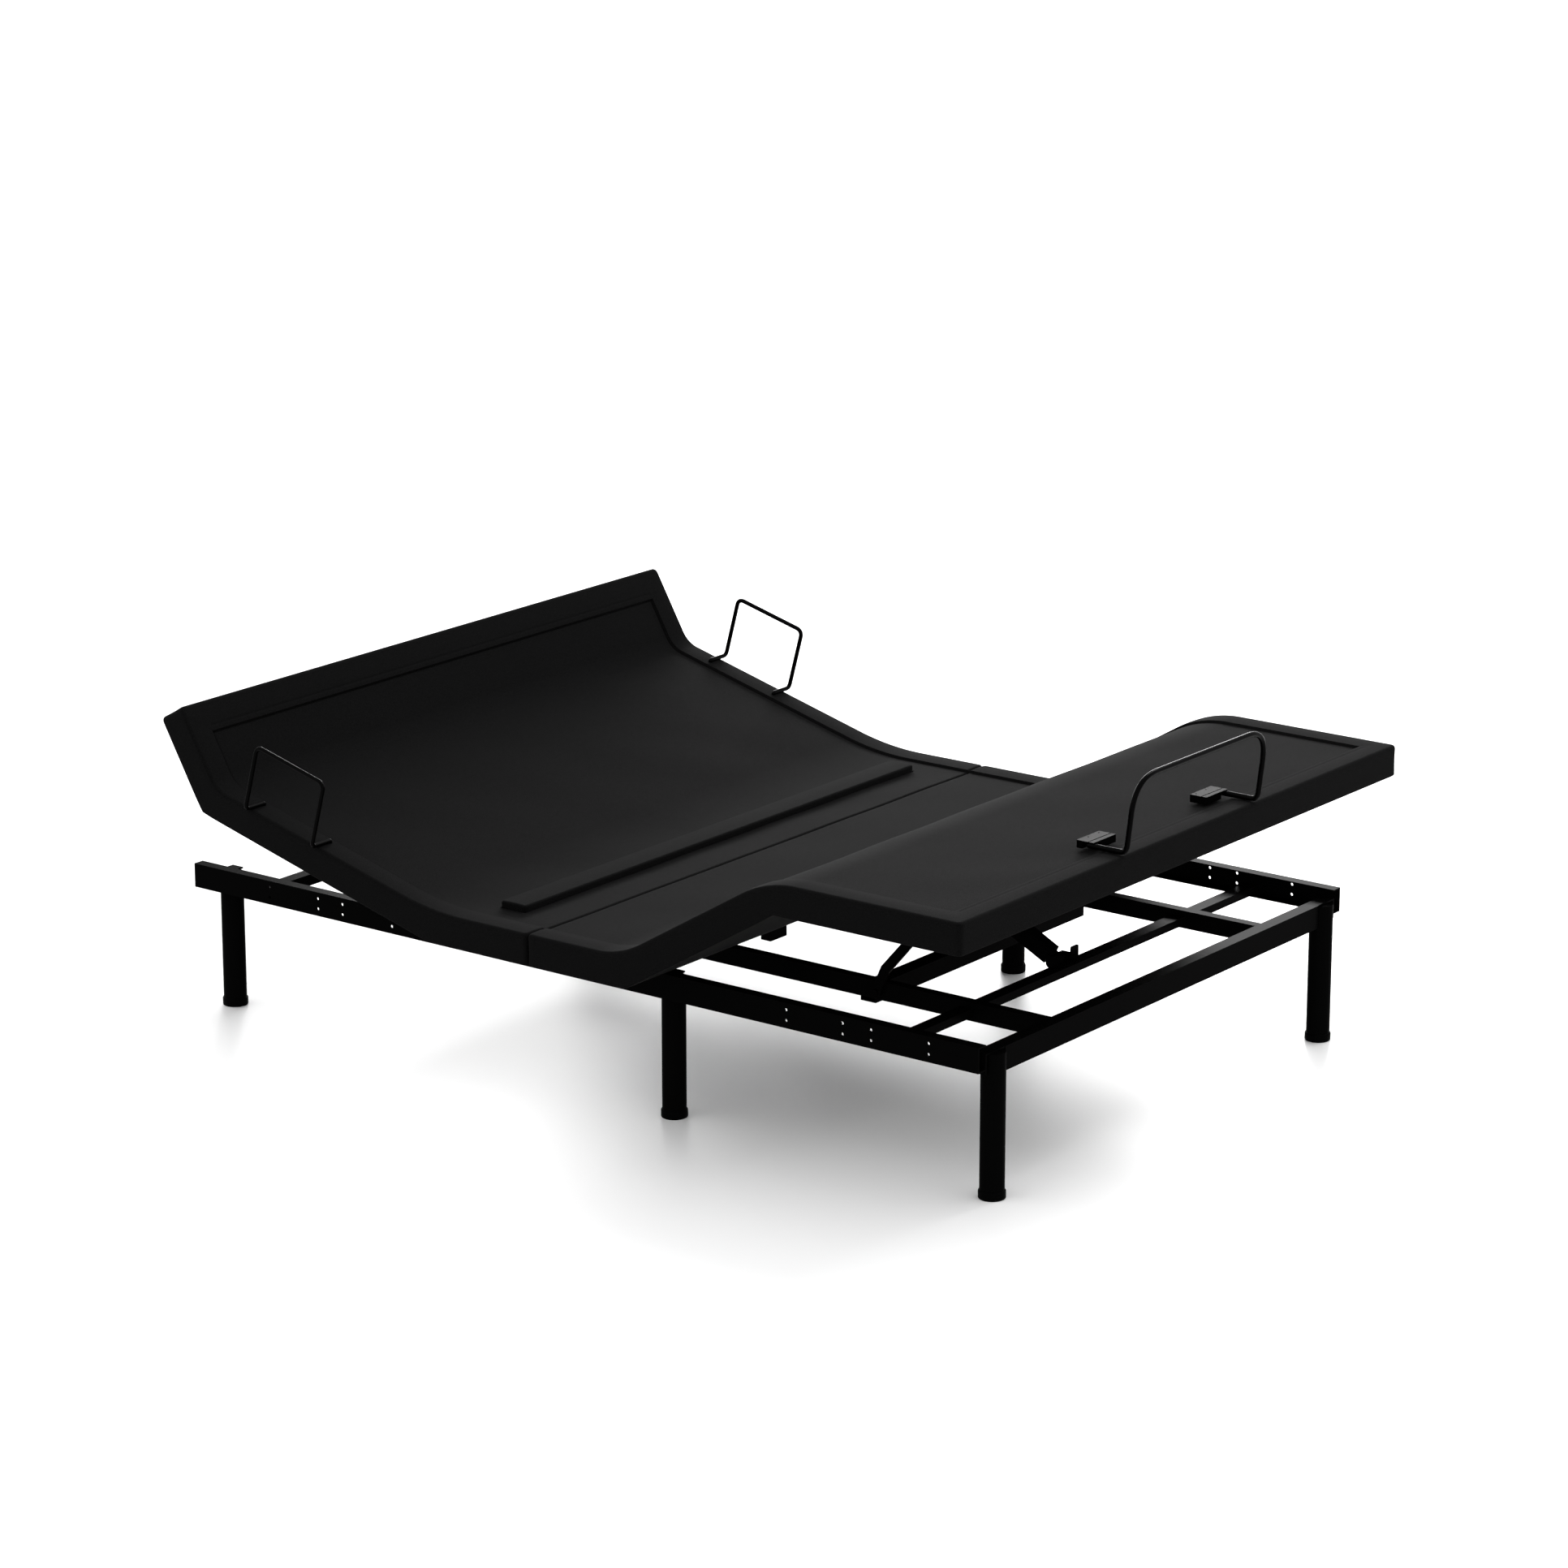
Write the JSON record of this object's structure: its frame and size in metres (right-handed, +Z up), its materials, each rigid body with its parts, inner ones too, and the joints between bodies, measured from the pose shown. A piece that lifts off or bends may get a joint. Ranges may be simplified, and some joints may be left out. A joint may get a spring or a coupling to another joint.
{
  "type": "adjustable bed base",
  "caption": "Split upholstered bed deck on a steel frame with legs; back, head, lumbar and knee sections are raised by actuators, with mattress retainers.",
  "frame": {"origin": "on the floor below the middle of the bounding box, with the deck in the pictured position", "axes": "+X from the head end to the foot end, +Y to the far side, +Z up"},
  "size_m": [1.8246, 1.4058, 0.668],
  "materials": {
    "frame_steel": "black powder coat, low sheen",
    "retainer_steel": "smooth black coating with soft highlights",
    "zinc_steel": "zinc-plated steel",
    "board_wood": "plain plywood",
    "cover_fabric": "charcoal-black woven upholstery",
    "black_plastic": "matte black",
    "nylon": "natural nylon"
  },
  "bodies": {
    "root": {"side_rail_near": "frame_steel", "side_rail_far": "frame_steel", "inner_rail_near": "frame_steel", "inner_rail_far": "frame_steel", "cross_tube_head": "frame_steel", "cross_tube_middle": "frame_steel", "cross_tube_thigh": "frame_steel", "cross_tube_anchor": "frame_steel", "cross_tube_foot": "frame_steel", "leg_head_near": "frame_steel", "leg_middle_near": "frame_steel", "leg_foot_near": "frame_steel", "leg_head_far": "frame_steel", "leg_middle_far": "frame_steel", "leg_foot_far": "frame_steel", "seat_board_head": "board_wood", "seat_board_foot": "board_wood", "seat_pad_head": "cover_fabric", "seat_pad_foot": "cover_fabric", "back_hinge_fixed": "zinc_steel", "thigh_hinge_fixed": "zinc_steel", "lumbar_motor": "black_plastic", "control_box": "black_plastic"},
    "back": {"back_board": "board_wood", "back_pad": "cover_fabric", "back_hinge_moving": "zinc_steel", "tilt_hinge_fixed": "zinc_steel", "back_runner": "nylon", "tilt_bracket": "frame_steel", "retainer_near": "retainer_steel", "retainer_far": "retainer_steel"},
    "head_tilt": {"tilt_board": "board_wood", "tilt_pad": "cover_fabric", "tilt_hinge_moving": "zinc_steel", "tilt_mount": "frame_steel"},
    "thigh": {"thigh_board": "board_wood", "thigh_pad": "cover_fabric", "thigh_hinge_moving": "zinc_steel", "knee_hinge_fixed": "zinc_steel", "thigh_bracket": "frame_steel"},
    "foot": {"foot_board": "board_wood", "foot_pad": "cover_fabric", "knee_hinge_moving": "zinc_steel", "retainer_foot": "retainer_steel", "retainer_clamp_near": "black_plastic", "retainer_clamp_far": "black_plastic", "link_track_near": "zinc_steel", "link_track_far": "zinc_steel"},
    "lumbar": {"lumbar_bar": "cover_fabric", "lumbar_carriage": "zinc_steel"},
    "back_lift": {"back_lift_arm": "frame_steel"},
    "back_actuator": {"back_actuator_body": "black_plastic"},
    "back_rod": {"back_actuator_rod": "zinc_steel"},
    "foot_actuator": {"foot_actuator_body": "frame_steel"},
    "foot_rod": {"foot_actuator_rod": "zinc_steel"},
    "tilt_actuator": {"tilt_actuator_body": "black_plastic"},
    "tilt_rod": {"tilt_actuator_rod": "zinc_steel"},
    "link_near": {"foot_link_near": "frame_steel"},
    "link_far": {"foot_link_far": "frame_steel"}
  },
  "joints": [
    {"name": "back_fold", "type": "hinge", "parent": "root", "child": "back", "pos_m": [-0.24435, 0, 0.2975], "axis": [0, 1, 0], "range_deg": [-15, 45]},
    {"name": "head_tilt", "type": "hinge", "parent": "back", "child": "head_tilt", "pos_m": [-0.76692, 0, 0.43752], "axis": [0, 1, 0], "range_deg": [-45, 5]},
    {"name": "thigh_fold", "type": "hinge", "parent": "root", "child": "thigh", "pos_m": [0.19165, 0, 0.2975], "axis": [0, -1, 0], "range_deg": [-31, 4]},
    {"name": "knee_fold", "type": "hinge", "parent": "thigh", "child": "foot", "pos_m": [0.50649, 0, 0.48667], "axis": [0, 1, 0], "range_deg": [-32, 5]},
    {"name": "lumbar_lift", "type": "slide", "parent": "root", "child": "lumbar", "axis": [0, 0, 1], "range_m": [-0.012, 0.04]},
    {"name": "back_lift_turn", "type": "hinge", "parent": "root", "child": "back_lift", "pos_m": [-0.27235, 0, 0.244], "axis": [0, 1, 0], "range_deg": [-16, 46]},
    {"name": "back_actuator_pivot", "type": "hinge", "parent": "root", "child": "back_actuator", "pos_m": [0.04465, -0.11, 0.222], "axis": [0, 1, 0], "range_deg": [-1.26, 1.77]},
    {"name": "back_rod_pivot", "type": "hinge", "parent": "back_lift", "child": "back_rod", "pos_m": [-0.25682, -0.11, 0.18604], "axis": [0, 1, 0], "range_deg": [-45.23, 15.74]},
    {"name": "foot_actuator_pivot", "type": "hinge", "parent": "root", "child": "foot_actuator", "pos_m": [0.63365, -0.025, 0.25], "axis": [0, 1, 0], "range_deg": [-22.49, 3.77]},
    {"name": "foot_rod_pivot", "type": "hinge", "parent": "thigh", "child": "foot_rod", "pos_m": [0.38282, -0.025, 0.37737], "axis": [0, 1, 0], "range_deg": [-53.49, 7.77]},
    {"name": "tilt_actuator_pivot", "type": "hinge", "parent": "head_tilt", "child": "tilt_actuator", "pos_m": [-0.88372, 0, 0.53983], "axis": [0, 1, 0], "range_deg": [-1.3, 3.69]},
    {"name": "tilt_rod_pivot", "type": "hinge", "parent": "back", "child": "tilt_rod", "pos_m": [-0.7821, 0, 0.40018], "axis": [0, 1, 0], "range_deg": [-43.31, 5.7]},
    {"name": "link_near_pivot", "type": "hinge", "parent": "root", "child": "link_near", "pos_m": [0.47765, -0.347, 0.244], "axis": [0, -1, 0], "range_deg": [-49.67, 7.28]},
    {"name": "link_far_pivot", "type": "hinge", "parent": "root", "child": "link_far", "pos_m": [0.47765, 0.347, 0.244], "axis": [0, -1, 0], "range_deg": [-49.67, 7.28]}
  ],
  "couplings": [
    {"joint": "knee_fold", "follows": "thigh_fold", "ratio": 1},
    {"joint": "back_lift_turn", "follows": "back_fold", "ratio": 1},
    {"joint": "back_actuator_pivot", "follows": "back_fold", "ratio": 0.0171},
    {"joint": "back_rod_pivot", "follows": "back_fold", "ratio": -0.9829},
    {"joint": "foot_actuator_pivot", "follows": "thigh_fold", "ratio": 0.6932},
    {"joint": "foot_rod_pivot", "follows": "thigh_fold", "ratio": 1.6932},
    {"joint": "tilt_actuator_pivot", "follows": "head_tilt", "ratio": -0.0597},
    {"joint": "tilt_rod_pivot", "follows": "head_tilt", "ratio": 0.9403},
    {"joint": "link_near_pivot", "follows": "thigh_fold", "ratio": 1.57},
    {"joint": "link_far_pivot", "follows": "thigh_fold", "ratio": 1.57}
  ]
}
